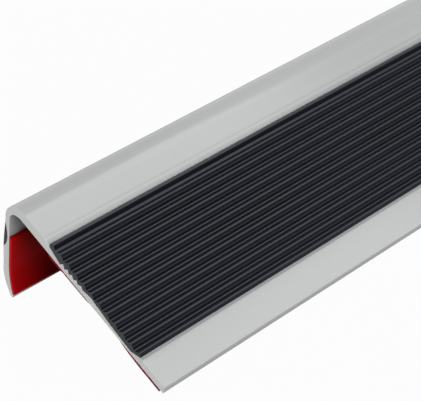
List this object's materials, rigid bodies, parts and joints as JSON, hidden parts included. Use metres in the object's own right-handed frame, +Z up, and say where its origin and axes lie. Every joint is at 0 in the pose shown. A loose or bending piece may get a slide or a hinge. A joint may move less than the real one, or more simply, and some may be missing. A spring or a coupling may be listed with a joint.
{
  "type": "stair nosing",
  "caption": "L-shaped extruded stair nosing with a ribbed black grip insert on its tread leg, a grip strip on its riser leg and film-covered adhesive tapes inside.",
  "frame": {"origin": "middle of the rectangle that the laid stock covers on the floor, at floor level", "axes": "+Y along the stock, +Z up, +X from the riser leg towards the back edge of the tread leg"},
  "size_m": [0.0574, 1, 0.0267],
  "materials": {
    "grey_pvc": "satin extruded PVC with fine lines along its length",
    "black_grip": "soft black PVC, satin on the rib edges",
    "red_film": "smooth red release film over an adhesive tape"
  },
  "bodies": {
    "root": {"carrier": "grey_pvc", "tread_insert": "black_grip", "riser_strip": "black_grip", "tread_tape": "red_film", "riser_tape": "red_film"}
  },
  "joints": []
}
